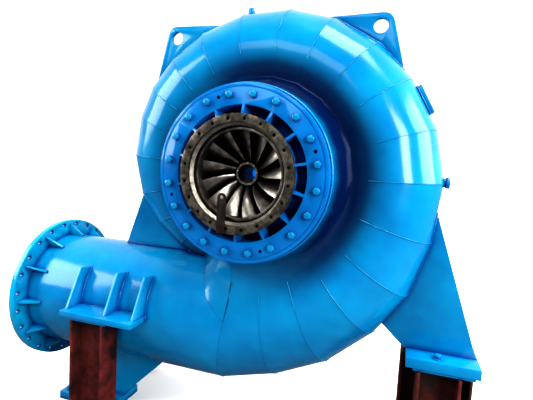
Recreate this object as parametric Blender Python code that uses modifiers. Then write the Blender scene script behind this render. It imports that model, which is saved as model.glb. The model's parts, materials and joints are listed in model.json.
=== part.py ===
"""Horizontal-shaft Francis turbine: spiral casing, covers, runner, shaft and stands.

Lengths are metres. The pieces are modelled about the shaft: X along the inlet
pipe, Y along the shaft with the open throat at -Y, Z up. An empty carries them
all to the shaft's height over the floor.
"""
import bpy
import bmesh
import math
from mathutils import Vector

# Driving dimensions of the set-up
SHAFT_HEIGHT = 1.600
CENTRE_X = 0.146
CENTRE_Y = -0.12285
GAP = 0.0003
PLATE = 0.014

# Inlet pipe and flange
PIPE_DROP = 0.861
PIPE_RADIUS = 0.350
FLANGE_FACE_X = -1.439
FLANGE_THICK = 0.036
FLANGE_RADIUS = 0.4475
FLANGE_PCD = 0.420
FLANGE_HOLES = 24
FLANGE_HOLE_RADIUS = 0.015
FLANGE_HOLE_START = -7.9
GUSSETS = 12
GUSSET_LENGTH = 0.105
GUSSET_HEIGHT = 0.070

# Spiral casing: mitre planes, and the tube radius along the spiral
MITRES = (-98, -83, -67.5, -51.5, -36.5, -19, 0, 17, 35, 51, 68, 84, 101, 118,
          133, 147, 160, 176, 193, 208, 222, 236)
RIM_KNOTS = ((-98, 1.200), (-83, 1.136), (-51.5, 1.024), (-19, 0.924), (35, 0.882),
             (147, 0.874), (176, 0.852), (193, 0.820), (236, 0.670))
TUBE_KNOTS = ((-98, 0.350), (-83, 0.358), (-51.5, 0.345), (-36.5, 0.310), (-19, 0.285),
              (35, 0.262), (101, 0.250), (147, 0.232), (176, 0.205), (193, 0.175), (236, 0.085))
JOIN_KNOTS = ((-98, 102.8), (-83, 105), (-51.5, 112), (-19, 116), (35, 118), (147, 118),
              (193, 110), (236, 90))
SKIN_SEAT = 0.440
SKIN_FLARE = 0.045
PIPE_MITRE = -98
CHEEK_REACH = 0.3520
ARC_STEPS = 10
SEAM_ANGLE = 0.00025
TURN_STEPS = 60

# Stay ring
RING_OUTER = 0.415
RING_LIP = 0.3965
RING_FACE = 0.485
RING_SEAT = 0.4467
RING_BORE = 0.3375
RING_FLANGE_BACK = 0.400
PASSAGE = 0.070

# Covers
COVER_RADIUS = 0.396
COVER_FACE = 0.487
COVER_PLATE = 0.040
COVER_BODY = 0.337
WINDOW_OUTER = 0.317
THROAT_WALL = 0.262
THROAT_SEAT = 0.2405
RIBS = 14
RIB_START = 12.0
RIB_THICK = 0.012

# Throat ring
THROAT_FACE = 0.544
THROAT_FLANGE = 0.273
THROAT_FLANGE_THICK = 0.030
THROAT_MOUTH = 0.234
THROAT_BORE = 0.221
BAR_X = -0.0545
BAR_EYE = -0.106

# Runner and shaft
BLADES = 13
BAND_INNER = 0.203
BAND_OUTER = 0.2155
BAND_FRONT = -0.500
BLADE_START = -1.0
BLADE_WRAP = 85.0
HUB_RADIUS = 0.056
HUB_FACE = -0.385
HUB_SEAT = -0.335
HUB_BORE = 0.030
RUNNER_INLET = 0.255
INLET_HALF = 0.050
SHAFT_RADIUS = 0.055
SHAFT_END = 0.800
COUPLING_RADIUS = 0.150
COUPLING_THICK = 0.045

# Linkage of the guide vanes, on the rear cover
VANES = 16
VANE_CIRCLE = 0.290
LINK_RING = (0.165, 0.200)
LINK_FACE = 0.4873

# Support plates, feet and stands
SUPPORT_THICK = 0.030
EAR_RIGHT = (0.547, 0.778)
EAR_RIGHT_CORNER = (0.600, 0.845)
EAR_LEFT = (-0.618, 0.755)
EAR_LEFT_CORNER = (-0.666, 0.823)
EAR_HOLE_RADIUS = 0.038
LEG_RIGHT = (0.889, -0.149, 0.339)
LEG_LEFT = (-0.827, -0.197, -0.3435)
FOOT_TOP = -0.870
FOOT_THICK = 0.050
FOOT_RIGHT = (0.800, 1.142)
FOOT_HALF = 0.135
SHIM_THICK = 0.015
LEFT_FOOT_TOP = -1.550
LEFT_FOOT = (-1.352, -0.930)
SADDLE_TOP = -0.815
SADDLE_THICK = 0.030
SADDLE_X = (-1.022, -0.562)
SADDLE_REAR_X = -1.240
SADDLE_FRONT = 0.495
SADDLE_GUSSETS = (-1.008, -0.757, -0.580)
POST_RIGHT = (0.102, 0.100)
POST_REAR = (0.091, 0.100)
POST_LEFT = (0.107, 0.065)
POST_FLANGE = 0.015
POST_WEB = 0.009

BLUE = (0.0, 0.23, 0.66, 1.0)
DARK_STEEL = (0.11, 0.10, 0.09, 1.0)
BRIGHT_STEEL = (0.45, 0.44, 0.42, 1.0)
OXIDE = (0.13, 0.018, 0.015, 1.0)

for old in list(bpy.data.objects):
    bpy.data.objects.remove(old, do_unlink=True)

scene = bpy.context.scene
parts = bpy.data.collections.new("francis_turbine")
cutters = bpy.data.collections.new("cutters")
scene.collection.children.link(parts)
scene.collection.children.link(cutters)

frame = bpy.data.objects.new("shaft_frame", None)
frame.location = (CENTRE_X, CENTRE_Y, SHAFT_HEIGHT)
parts.objects.link(frame)
rotor = bpy.data.objects.new("rotor_frame", None)
rotor.parent = frame
parts.objects.link(rotor)


def make_material(name, colour, roughness, metallic):
    material = bpy.data.materials.new(name)
    material.use_nodes = True
    shader = material.node_tree.nodes["Principled BSDF"]
    shader.inputs["Base Color"].default_value = colour
    shader.inputs["Roughness"].default_value = roughness
    shader.inputs["Metallic"].default_value = metallic
    return material


paint = make_material("blue_paint", BLUE, 0.25, 0.0)
raw_steel = make_material("raw_steel", DARK_STEEL, 0.4, 0.9)
turned_steel = make_material("turned_steel", BRIGHT_STEEL, 0.25, 1.0)
oxide_paint = make_material("oxide_paint", OXIDE, 0.7, 0.0)


def place(name, mesh, material, parent=frame, collection=parts):
    obj = bpy.data.objects.new(name, mesh)
    obj.parent = parent
    collection.objects.link(obj)
    if material:
        mesh.materials.append(material)
    return obj


def as_cutter(obj):
    parts.objects.unlink(obj)
    cutters.objects.link(obj)
    obj.hide_render = True
    obj.display_type = "WIRE"
    return obj


def finish_mesh(name, bm):
    bm.normal_update()
    bmesh.ops.recalc_face_normals(bm, faces=bm.faces)
    mesh = bpy.data.meshes.new(name)
    bm.to_mesh(mesh)
    bm.free()
    return mesh


def box(name, low, high, material, parent=frame):
    """A block between two corners."""
    bm = bmesh.new()
    bmesh.ops.create_cube(bm, size=1.0)
    for vert in bm.verts:
        vert.co = Vector([a + (b - a) * (c + 0.5) for a, b, c in zip(low, high, vert.co)])
    return place(name, finish_mesh(name, bm), material, parent)


def turned(name, profile, material, parent=frame, steps=TURN_STEPS):
    """A closed (radius, y) profile turned about the shaft, outer side from rear to front."""
    mesh = bpy.data.meshes.new(name)
    count = len(profile)
    points = [(radius, 0.0, y) for radius, y in profile]
    edges = [(i, (i + 1) % count) for i in range(count)]
    if profile[0][0] == 0.0 and profile[-1][0] == 0.0:
        edges.pop()
    mesh.from_pydata(points, edges, [])
    obj = place(name, mesh, material, parent)
    obj.rotation_euler = (math.radians(-90), 0, 0)
    screw = obj.modifiers.new("turn", "SCREW")
    screw.steps = steps
    screw.render_steps = steps
    screw.use_merge_vertices = True
    screw.merge_threshold = 0.0001
    screw.use_smooth_shade = False
    return obj


def extruded(name, outline, low_y, high_y, material, holes=()):
    """A flat (x, z) outline with round holes, drawn as a filled curve and extruded along Y."""
    curve = bpy.data.curves.new(name, "CURVE")
    curve.dimensions = "2D"
    curve.fill_mode = "BOTH"
    curve.extrude = (high_y - low_y) / 2
    loops = [list(outline)]
    for x, z, radius in holes:
        turns = [2 * math.pi * i / 32 for i in range(32)]
        loops.append([(x + radius * math.cos(a), z + radius * math.sin(a)) for a in turns])
    for loop in loops:
        spline = curve.splines.new("POLY")
        spline.points.add(len(loop) - 1)
        for point, (x, z) in zip(spline.points, loop):
            point.co = (x, z, 0.0, 1.0)
        spline.use_cyclic_u = True
    temp = bpy.data.objects.new(name + "_curve", curve)
    scene.collection.objects.link(temp)
    bpy.context.view_layer.update()
    graph = bpy.context.evaluated_depsgraph_get()
    mesh = bpy.data.meshes.new_from_object(temp.evaluated_get(graph))
    bpy.data.objects.remove(temp, do_unlink=True)
    bm = bmesh.new()
    bm.from_mesh(mesh)
    bmesh.ops.remove_doubles(bm, verts=bm.verts, dist=0.00001)
    middle = (low_y + high_y) / 2
    for vert in bm.verts:
        x, z, y = vert.co
        vert.co = (x, middle + y, z)
    solid = finish_mesh(name, bm)
    solid.materials.clear()
    return place(name, solid, material)


def loft(name, sections, material, parent=frame, collection=parts):
    """Quads between closed loops of as many points each, with a cap at both ends."""
    bm = bmesh.new()
    rings = [[bm.verts.new(point) for point in section] for section in sections]
    count = len(rings[0])
    for ring, following in zip(rings, rings[1:]):
        for i in range(count):
            j = (i + 1) % count
            bm.faces.new((ring[i], ring[j], following[j], following[i]))
    caps = [bm.faces.new(rings[0]), bm.faces.new(rings[-1])]
    bm.normal_update()
    bmesh.ops.triangulate(bm, faces=caps, ngon_method="EAR_CLIP")
    return place(name, finish_mesh(name, bm), material, parent, collection)


def boolean(obj, other, operation):
    modifier = obj.modifiers.new(operation.lower(), "BOOLEAN")
    modifier.operation = operation
    modifier.object = other
    modifier.solver = "EXACT"


def prism(bm, first, second):
    """Closed body between two flat outlines of as many points each."""
    ends = [[bm.verts.new(point) for point in outline] for outline in (first, second)]
    caps = [bm.faces.new(end) for end in ends]
    for k in range(len(first)):
        n = (k + 1) % len(first)
        bm.faces.new((ends[0][k], ends[0][n], ends[1][n], ends[1][k]))
    bm.normal_update()
    bmesh.ops.triangulate(bm, faces=caps, ngon_method="EAR_CLIP")


def cutter_of(name, bm, parent=frame):
    return as_cutter(place(name, finish_mesh(name, bm), None, parent))


def radial_plates(name, count, start, half_thick, side):
    """Flat plates on radial planes, each with the same (radius, y) outline, as one cutter."""
    bm = bmesh.new()
    for i in range(count):
        angle = math.radians(start + 360 * i / count)
        faces = []
        for across in (-half_thick, half_thick):
            faces.append([(r * math.cos(angle) - across * math.sin(angle), y,
                           r * math.sin(angle) + across * math.cos(angle)) for r, y in side])
        prism(bm, *faces)
    return cutter_of(name, bm)


def vanes(name, count, stations, low_y, high_y):
    """Upright vanes as one cutter; stations give (radius, degrees, half thickness)."""
    bm = bmesh.new()
    for i in range(count):
        front, back = [], []
        for r, turn, thick in stations:
            degrees = turn + 360 * i / count
            x, z = around(r, degrees)
            nx, nz = around(thick, degrees + 90)
            front.append((x + nx, z + nz))
            back.append((x - nx, z - nz))
        outline = front + back[::-1]
        prism(bm, [(x, low_y, z) for x, z in outline], [(x, high_y, z) for x, z in outline])
    return cutter_of(name, bm)


def pegs(name, centres, radius, half, axis, segments=16):
    """Round pegs along one axis ('X', 'Y' or 'Z'), joined as one cutter."""
    bm = bmesh.new()
    for centre in centres:
        made = bmesh.ops.create_cone(bm, cap_ends=True, segments=segments,
                                     radius1=radius, radius2=radius, depth=2 * half)
        for vert in made["verts"]:
            x, y, z = vert.co
            turned_to = {"X": (z, x, y), "Y": (x, -z, y), "Z": (x, y, z)}[axis]
            vert.co = Vector(turned_to) + Vector(centre)
    return cutter_of(name, bm)


def around(radius, degrees):
    angle = math.radians(degrees)
    return radius * math.cos(angle), radius * math.sin(angle)


def knot_value(knots, at):
    """Straight-line value between the knots."""
    for (a, low), (b, high) in zip(knots, knots[1:]):
        if at <= b:
            share = (at - a) / (b - a)
            return low + (high - low) * max(0.0, share)
    return knots[-1][1]


def curve_between(start, corner, end, steps):
    """Points on the arc-like curve that leaves start for corner and arrives at end."""
    points = []
    for i in range(1, steps):
        t = i / steps
        points.append(tuple((1 - t) ** 2 * a + 2 * t * (1 - t) * b + t * t * c
                            for a, b, c in zip(start, corner, end)))
    return points


def ring_edge(half_step):
    """Radius at which straight plate between two mitres just clears the round ring."""
    return (RING_OUTER + 0.0006) / math.cos(math.radians(half_step))


def half_skin(tube, centre, stretch, join, start, flare):
    """(r, y) from the ring through a hollow flare, then round the front half of the tube."""
    lean = math.radians(join)
    touch = (centre + tube * stretch * math.cos(lean), -tube * math.sin(lean))
    out = start[0] + flare
    bend = (out, touch[1] - (touch[0] - out) / stretch / math.tan(lean))
    points = [start] + curve_between(start, bend, touch, 5)
    for i in range(ARC_STEPS + 1):
        angle = lean * (1 - i / ARC_STEPS)
        points.append((centre + tube * stretch * math.cos(angle), -tube * math.sin(angle)))
    return points


def skin_section(degrees, shift=0.0):
    """Closed loop of the casing wall where it crosses the plane at this angle."""
    tube = knot_value(TUBE_KNOTS, degrees)
    stretch = 1.0
    centre = knot_value(RIM_KNOTS, degrees) - tube
    join = knot_value(JOIN_KNOTS, degrees)
    if degrees == PIPE_MITRE:
        stretch = 1 / math.sin(math.radians(-PIPE_MITRE))
        centre = PIPE_DROP * stretch
    beside = sorted(abs(degrees - m) for m in MITRES + (MITRES[0] + 360,))
    edge = ring_edge(beside[2] / 2)
    outer = half_skin(tube, centre, stretch, join, (edge, -SKIN_SEAT), SKIN_FLARE)
    inner = half_skin(tube - PLATE, centre, stretch, join, (edge, -SKIN_SEAT + 0.040),
                      SKIN_FLARE - 0.017)
    outer = outer + [(r, -y) for r, y in reversed(outer[:-1])]
    inner = inner + [(r, -y) for r, y in reversed(inner[:-1])]
    loop = outer + inner[::-1]
    angle = math.radians(degrees) + shift
    return [(r * math.cos(angle), y, r * math.sin(angle)) for r, y in loop]


def casing_piece(name, angles):
    sections = []
    for i, degrees in enumerate(angles):
        shift = 0.0
        if i == 0:
            shift = SEAM_ANGLE
        if i == len(angles) - 1:
            shift = -SEAM_ANGLE
        sections.append(skin_section(degrees, shift))
    return loft(name, sections, paint)


def pipe_cutter():
    bm = bmesh.new()
    bmesh.ops.create_cone(bm, cap_ends=True, segments=96, radius1=PIPE_RADIUS + GAP,
                          radius2=PIPE_RADIUS + GAP, depth=2.0)
    for vert in bm.verts:
        x, y, z = vert.co
        vert.co = (z - 0.9, x, y - PIPE_DROP)
    return cutter_of("pipe_space", bm)


def make_casing():
    groups = (-98, -51.5, 0, 51, 101, 147, 193, 236)
    names = ("casing_bottom", "casing_lower_right", "casing_upper_right", "casing_top",
             "casing_upper_left", "casing_left", "casing_nose")
    made = []
    for name, low, high in zip(names, groups, groups[1:]):
        piece = casing_piece(name, [m for m in MITRES if low <= m <= high])
        made.append(piece)
    boolean(made[-1], pipe_cutter(), "DIFFERENCE")


def make_cheeks():
    """Cheeks that close the casing between the ring and the top of the inlet pipe."""
    joins = ((236.07, 168), (240, 155), (245, 140), (251, 122), (261.93, 103.5))
    feet = ((236.07, 0.088), (245, 0.150), (251, 0.194), (261.93, 0.2735))
    low, high = joins[0][0], joins[-1][0]
    steps = 16
    edge = ring_edge(3.5)
    for side, name in ((1, "cheek_front"), (-1, "cheek_rear")):
        sections = []
        for i in range(steps + 1):
            degrees = low + (high - low) * i / steps
            angle = math.radians(degrees)
            squeeze = 1 / abs(math.sin(angle))
            join = knot_value(joins, degrees)
            foot = knot_value(feet, degrees)
            rest = []
            for at in (join, min(join + 7, 172.5), min(join + 14, 177)):
                out, up = around(CHEEK_REACH, at)
                rest.append((squeeze * (PIPE_DROP + out), -up))
            start = (edge, -SKIN_SEAT)
            outer = curve_between(start, (edge + SKIN_FLARE, -foot), rest[0], 4)
            end = (edge, -SKIN_SEAT + 0.040)
            bend = (edge + SKIN_FLARE - 0.017, -foot + 0.018)
            inner = curve_between(rest[-1], bend, end, 4)
            loop = [start] + outer + rest + inner + [end]
            sections.append([(r * math.cos(angle), y * side, r * math.sin(angle))
                             for r, y in loop])
        loft(name, sections, paint)


def make_inlet():
    """Straight inlet pipe, cut at the first mitre, and its drilled and gusseted flange."""
    steps = 64
    start_x = FLANGE_FACE_X + FLANGE_THICK + GAP
    lean = math.cos(math.radians(PIPE_MITRE)) / math.sin(math.radians(PIPE_MITRE))
    bm = bmesh.new()
    rings = []
    for radius in (PIPE_RADIUS, PIPE_RADIUS - PLATE):
        for at_mitre in (False, True):
            ring = []
            for i in range(steps):
                y, up = around(radius, 360 * i / steps)
                z = up - PIPE_DROP
                x = z * lean - GAP if at_mitre else start_x
                ring.append(bm.verts.new((x, y, z)))
            rings.append(ring)
    outer_start, outer_end, inner_start, inner_end = rings
    for a, b in ((outer_start, outer_end), (outer_end, inner_end),
                 (inner_end, inner_start), (inner_start, outer_start)):
        for i in range(steps):
            j = (i + 1) % steps
            bm.faces.new((a[i], a[j], b[j], b[i]))
    place("inlet_pipe", finish_mesh("inlet_pipe", bm), paint)

    bm = bmesh.new()
    rings = []
    for x in (FLANGE_FACE_X, FLANGE_FACE_X + FLANGE_THICK):
        for radius in (FLANGE_RADIUS, PIPE_RADIUS - PLATE):
            ring = []
            for i in range(steps):
                y, up = around(radius, 360 * i / steps)
                ring.append(bm.verts.new((x, y, up - PIPE_DROP)))
            rings.append(ring)
    for a, b in ((0, 2), (2, 3), (3, 1), (1, 0)):
        for i in range(steps):
            j = (i + 1) % steps
            bm.faces.new((rings[a][i], rings[a][j], rings[b][j], rings[b][i]))
    flange = place("inlet_flange", finish_mesh("inlet_flange", bm), paint)
    holes = [around(FLANGE_PCD, FLANGE_HOLE_START + 360 * i / FLANGE_HOLES)
             for i in range(FLANGE_HOLES)]
    centres = [(FLANGE_FACE_X, y, z - PIPE_DROP) for y, z in holes]
    boolean(flange, pegs("flange_holes", centres, FLANGE_HOLE_RADIUS, 0.1, "X", 12), "DIFFERENCE")
    boolean(flange, flange_gussets(), "UNION")


def flange_gussets():
    """Twelve triangular stiffeners behind the flange, one in every second hole space."""
    bm = bmesh.new()
    back = FLANGE_FACE_X + FLANGE_THICK
    foot = PIPE_RADIUS + 0.0012
    outline = ((back - 0.010, foot), (back - 0.010, foot + GUSSET_HEIGHT),
               (back + 0.008, foot + GUSSET_HEIGHT), (back + GUSSET_LENGTH, foot + 0.006),
               (back + GUSSET_LENGTH, foot))
    for i in range(GUSSETS):
        angle = math.radians(FLANGE_HOLE_START + 7.5 + 360 * i / GUSSETS)
        faces = []
        for side in (-0.006, 0.006):
            faces.append([(x, r * math.cos(angle) - side * math.sin(angle),
                           r * math.sin(angle) + side * math.cos(angle) - PIPE_DROP)
                          for x, r in outline])
        prism(bm, *faces)
    return cutter_of("gusset_plates", bm)


def make_stay_ring():
    """Front and rear ring channels, one welded piece with the stay vanes between them."""
    half = [(RING_OUTER, -PASSAGE), (RING_OUTER, -RING_FACE), (RING_LIP, -RING_FACE),
            (RING_LIP, -RING_SEAT), (RING_BORE, -RING_SEAT), (RING_BORE, -RING_FLANGE_BACK),
            (0.402, -RING_FLANGE_BACK), (0.402, -PASSAGE - 0.030),
            (RING_BORE, -PASSAGE - 0.030), (RING_BORE, -PASSAGE)]
    ring = turned("stay_ring", half, paint)
    rear = as_cutter(turned("rear_ring", [(r, -y) for r, y in reversed(half)], None))
    boolean(ring, rear, "UNION")
    stations = ((0.350, -6, 0.004), (0.380, -1, 0.009), (0.408, 5, 0.003))
    boolean(ring, vanes("stay_vanes", 10, stations, -PASSAGE - 0.008, PASSAGE + 0.008), "UNION")


def make_covers():
    front_profile = [
        (COVER_BODY, -PASSAGE), (COVER_BODY, -COVER_FACE + COVER_PLATE),
        (COVER_RADIUS, -COVER_FACE + COVER_PLATE), (COVER_RADIUS, -COVER_FACE),
        (WINDOW_OUTER, -COVER_FACE), (WINDOW_OUTER, -0.350), (THROAT_WALL, -0.395),
        (THROAT_WALL, -THROAT_FACE + THROAT_FLANGE_THICK + GAP),
        (THROAT_SEAT, -THROAT_FACE + THROAT_FLANGE_THICK + GAP),
        (THROAT_SEAT, -0.225), (0.276, -0.130), (0.276, -PASSAGE)]
    cover = turned("front_cover", front_profile, paint)
    side = ((THROAT_WALL - 0.010, -0.330), (THROAT_WALL - 0.010, -COVER_FACE - 0.018),
            (WINDOW_OUTER + 0.006, -COVER_FACE + 0.001), (WINDOW_OUTER + 0.006, -0.330))
    ribs = radial_plates("front_ribs", RIBS, RIB_START, RIB_THICK / 2, side)
    boolean(cover, ribs, "UNION")

    rear_profile = [
        (COVER_RADIUS, COVER_FACE), (COVER_RADIUS, COVER_FACE - COVER_PLATE),
        (COVER_BODY, COVER_FACE - COVER_PLATE), (COVER_BODY, PASSAGE), (0.276, PASSAGE),
        (0.276, 0.120), (0.120, 0.120), (0.120, 0.470), (0.150, 0.470), (0.150, 0.150),
        (0.310, 0.150), (0.310, COVER_FACE)]
    rear = turned("rear_cover", rear_profile, paint)
    side = ((0.145, 0.145), (0.315, 0.145), (0.315, COVER_FACE - 0.0005),
            (0.148, COVER_FACE - 0.0005), (0.145, 0.465))
    boolean(rear, radial_plates("rear_ribs", VANES // 2, 11.25, 0.007, side), "UNION")
    stations = ((0.284, -9, 0.003), (0.303, 0, 0.008), (0.322, 8, 0.004))
    guide = vanes("guide_vanes", VANES, stations, -PASSAGE + GAP, PASSAGE + 0.005)
    boolean(rear, guide, "UNION")

    housing = [(0.119, 0.640), (0.119, 0.500), (0.119, 0.150),
               (SHAFT_RADIUS + GAP, 0.150), (SHAFT_RADIUS + GAP, 0.640)]
    turned("bearing_housing", housing, paint)


def make_linkage():
    """Regulating ring on the rear ribs, with a lever and a stem for every guide vane."""
    inner, outer = LINK_RING
    profile = [(outer, LINK_FACE + 0.020), (outer, LINK_FACE), (inner, LINK_FACE),
               (inner, LINK_FACE + 0.020)]
    ring = turned("vane_linkage", profile, raw_steel)
    side = ((outer - 0.010, LINK_FACE + 0.003), (VANE_CIRCLE + 0.018, LINK_FACE + 0.003),
            (VANE_CIRCLE + 0.018, LINK_FACE + 0.017), (outer - 0.010, LINK_FACE + 0.017))
    boolean(ring, radial_plates("levers", VANES, 0.0, 0.013, side), "UNION")
    low = 0.150 + GAP
    high = LINK_FACE + 0.026
    centres = []
    for i in range(VANES):
        x, z = around(VANE_CIRCLE, 360 * i / VANES)
        centres.append((x, (low + high) / 2, z))
    boolean(ring, pegs("stems", centres, 0.011, (high - low) / 2, "Y", 8), "UNION")


def make_throat():
    back = -THROAT_FACE + THROAT_FLANGE_THICK
    profile = [(0.240, -0.240), (0.240, back), (THROAT_FLANGE, back),
               (THROAT_FLANGE, -THROAT_FACE), (THROAT_MOUTH, -THROAT_FACE),
               (THROAT_MOUTH, -0.524), (THROAT_BORE, -0.512), (THROAT_BORE, -0.240)]
    turned("throat_ring", profile, raw_steel)
    outline = []
    for degrees in range(0, 181, 20):
        x, z = around(0.020, degrees)
        outline.append((x + BAR_X, z + BAR_EYE))
    outline += [(BAR_X - 0.020, -0.269), (BAR_X + 0.020, -0.269)]
    extruded("locking_bar", outline, -THROAT_FACE - GAP - 0.010, -THROAT_FACE - GAP,
             raw_steel, holes=((BAR_X, BAR_EYE, 0.009),))


def make_runner():
    """Crown with the blades and the hub's open bore, and the band round the blades' ends."""
    crown = [(RUNNER_INLET, 0.085), (RUNNER_INLET, INLET_HALF), (0.190, 0.040),
             (0.120, -0.020), (0.080, -0.130), (0.060, -0.240), (HUB_RADIUS, HUB_FACE),
             (0.045, HUB_FACE), (0.042, HUB_SEAT), (HUB_BORE, HUB_SEAT), (HUB_BORE, 0.085)]
    runner = turned("runner", crown, raw_steel, rotor, 52)
    band = [(RUNNER_INLET, -INLET_HALF), (RUNNER_INLET + 0.012, -INLET_HALF),
            (RUNNER_INLET + 0.012, -0.075), (BAND_OUTER, -0.190), (BAND_OUTER, BAND_FRONT),
            (BAND_INNER, BAND_FRONT), (BAND_INNER, -0.190), (0.220, -0.120)]
    turned("runner_band", band, raw_steel, rotor, 52)
    bm = bmesh.new()
    for i in range(BLADES):
        add_blade(bm, BLADE_START + 360 * i / BLADES)
    boolean(runner, cutter_of("blades", bm, rotor), "UNION")
    # the blades stop a hair short of the band's inner face
    beyond = [(0.300, -INLET_HALF + GAP), (0.300, BAND_FRONT - 0.010),
              (BAND_INNER - GAP, BAND_FRONT - 0.010), (BAND_INNER - GAP, -0.190),
              (0.220 - GAP, -0.120), (RUNNER_INLET - GAP, -INLET_HALF + GAP)]
    boolean(runner, as_cutter(turned("beyond_band", beyond, None, rotor, 52)), "DIFFERENCE")


def along(line, share):
    """Point at this share of a line's length."""
    lengths = [math.dist(a, b) for a, b in zip(line, line[1:])]
    left = share * sum(lengths)
    for (a, b), length in zip(zip(line, line[1:]), lengths):
        if left <= length + 1e-9:
            return tuple(p + (q - p) * left / length for p, q in zip(a, b))
        left -= length
    return line[-1]


def blade_point(share, out, side, turn):
    """Point on a blade: share runs from outlet to inlet, out from crown to band."""
    hub_line = ((0.051, -0.365), (0.055, -0.239), (0.0752, -0.128), (0.1165, -0.0145),
                (0.188, 0.0455), (0.250, 0.0555))
    band_line = ((0.208, -0.466), (0.208, -0.188), (0.2245, -0.117), (0.249, -0.072))
    low_r, low_y = along(hub_line, share)
    high_r, high_y = along(band_line, share)
    r = low_r + (high_r - low_r) * out
    y = low_y + (high_y - low_y) * out - 0.018 * math.sin(math.pi * out) * (1 - share) ** 2
    wrap = BLADE_WRAP * share ** 0.65 - 6 * (1 - out) * (1 - share)
    thick = 0.0028 + 0.0044 * math.sin(math.pi * min(share + 0.08, 1.0))
    angle = math.radians(turn + wrap) + side * thick / r
    return (r * math.cos(angle), y, r * math.sin(angle))


def add_blade(bm, turn):
    """One blade from its outlet edge, near the throat, back to its inlet edge."""
    shares = (0.0, 0.03, 0.08, 0.16, 0.28, 0.45, 0.70, 1.0)
    rows = 4
    sheets = []
    for side in (1, -1):
        sheets.append([[bm.verts.new(blade_point(share, k / (rows - 1), side, turn))
                        for k in range(rows)] for share in shares])
    # both sheets are split along the same diagonals, so that they can't cross
    for sheet in sheets:
        for near, far in zip(sheet, sheet[1:]):
            for k in range(rows - 1):
                bm.faces.new((near[k], near[k + 1], far[k + 1]))
                bm.faces.new((near[k], far[k + 1], far[k]))
    a, b = sheets
    rims = [(a[0], b[0]), (a[-1], b[-1])]
    rims += [([line[k] for line in a], [line[k] for line in b]) for k in (0, rows - 1)]
    for first, second in rims:
        for k in range(len(first) - 1):
            bm.faces.new((first[k], first[k + 1], second[k + 1]))
            bm.faces.new((first[k], second[k + 1], second[k]))


def make_shaft():
    shaft = [(COUPLING_RADIUS, SHAFT_END), (COUPLING_RADIUS, SHAFT_END - COUPLING_THICK),
             (SHAFT_RADIUS, SHAFT_END - COUPLING_THICK), (SHAFT_RADIUS, 0.110),
             (0.100, 0.110), (0.100, 0.0853), (0.0, 0.0853), (0.0, SHAFT_END)]
    turned("shaft", [shaft[-1]] + shaft[:-1], turned_steel, rotor)


def tube_edge(degrees):
    return knot_value(RIM_KNOTS, degrees)


def casing_outline(start, end):
    """(x, z) points just outside the casing's rim between two angles, through the mitres."""
    angles = [start] + [m for m in MITRES if start < m < end] + [end]
    points = []
    for degrees in angles:
        low = max(m for m in MITRES if m <= degrees)
        high = min(m for m in MITRES if m >= degrees)
        radius = tube_edge(degrees)
        if low != high:
            a = Vector(around(tube_edge(low), low))
            b = Vector(around(tube_edge(high), high))
            way = Vector(around(1.0, degrees))
            side = Vector((-(b - a).y, (b - a).x))
            radius = a.dot(side) / way.dot(side)
        points.append(around(radius + 0.0008, degrees))
    return points


def rounded(corner, before, after, radius, steps=5):
    """Points on a round corner between the directions to its two neighbours."""
    corner, before, after = Vector(corner), Vector(before), Vector(after)
    start = corner + (before - corner).normalized() * radius
    end = corner + (after - corner).normalized() * radius
    return [tuple(start)] + curve_between(start, corner, end, steps) + [tuple(end)]


def make_ears():
    """Lifting ears: plates that stand on the casing's rim, each with a round eye."""
    half = SUPPORT_THICK / 2
    edge = casing_outline(39.5, 72.5)
    outline = edge + rounded(EAR_RIGHT_CORNER, edge[-1], edge[0], 0.050)
    extruded("ear_right", outline, -half, half, paint, (EAR_RIGHT + (EAR_HOLE_RADIUS,),))
    edge = casing_outline(109.8, 151.5)
    outline = edge + rounded(EAR_LEFT_CORNER, edge[-1], edge[0], 0.050)
    extruded("ear_left", outline, -half, half, paint, (EAR_LEFT + (EAR_HOLE_RADIUS,),))


def leg_edge(leg, z):
    """X of a leg's slanting outer edge at this height."""
    x, start, slope = leg
    return x + (start - z) * slope


def make_legs():
    half = SUPPORT_THICK / 2
    edge = casing_outline(-48.8, -9.6)
    bottom = FOOT_TOP + GAP
    outline = edge + [(leg_edge(LEG_RIGHT, bottom), bottom), (0.786, bottom)]
    extruded("leg_right", outline, -half, half, paint)

    pipe_top = -PIPE_DROP + PIPE_RADIUS + 0.0008
    edge = casing_outline(190.4, 225.2)
    outline = edge + [(-0.506, pipe_top), (leg_edge(LEG_LEFT, pipe_top), pipe_top)]
    extruded("leg_left_upper", outline, -half, half, paint)

    pipe_bottom = -PIPE_DROP - PIPE_RADIUS - 0.0008
    bottom = LEFT_FOOT_TOP + GAP
    outline = [(leg_edge(LEG_LEFT, pipe_bottom), pipe_bottom), (-0.601, pipe_bottom),
               (-0.944, bottom), (leg_edge(LEG_LEFT, bottom), bottom)]
    extruded("leg_left_lower", outline, -half, half, paint)


def make_feet():
    box("foot_right", (FOOT_RIGHT[0], -FOOT_HALF, FOOT_TOP - FOOT_THICK),
        (FOOT_RIGHT[1], FOOT_HALF, FOOT_TOP), paint)
    shim_top = FOOT_TOP - FOOT_THICK - GAP
    box("shim_right", (FOOT_RIGHT[0] + 0.035, -FOOT_HALF + 0.010, shim_top - SHIM_THICK),
        (FOOT_RIGHT[1] - 0.020, FOOT_HALF - 0.010, shim_top), paint)
    box("foot_left", (LEFT_FOOT[0], -FOOT_HALF, -SHAFT_HEIGHT),
        (LEFT_FOOT[1], FOOT_HALF, LEFT_FOOT_TOP), paint)


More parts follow.
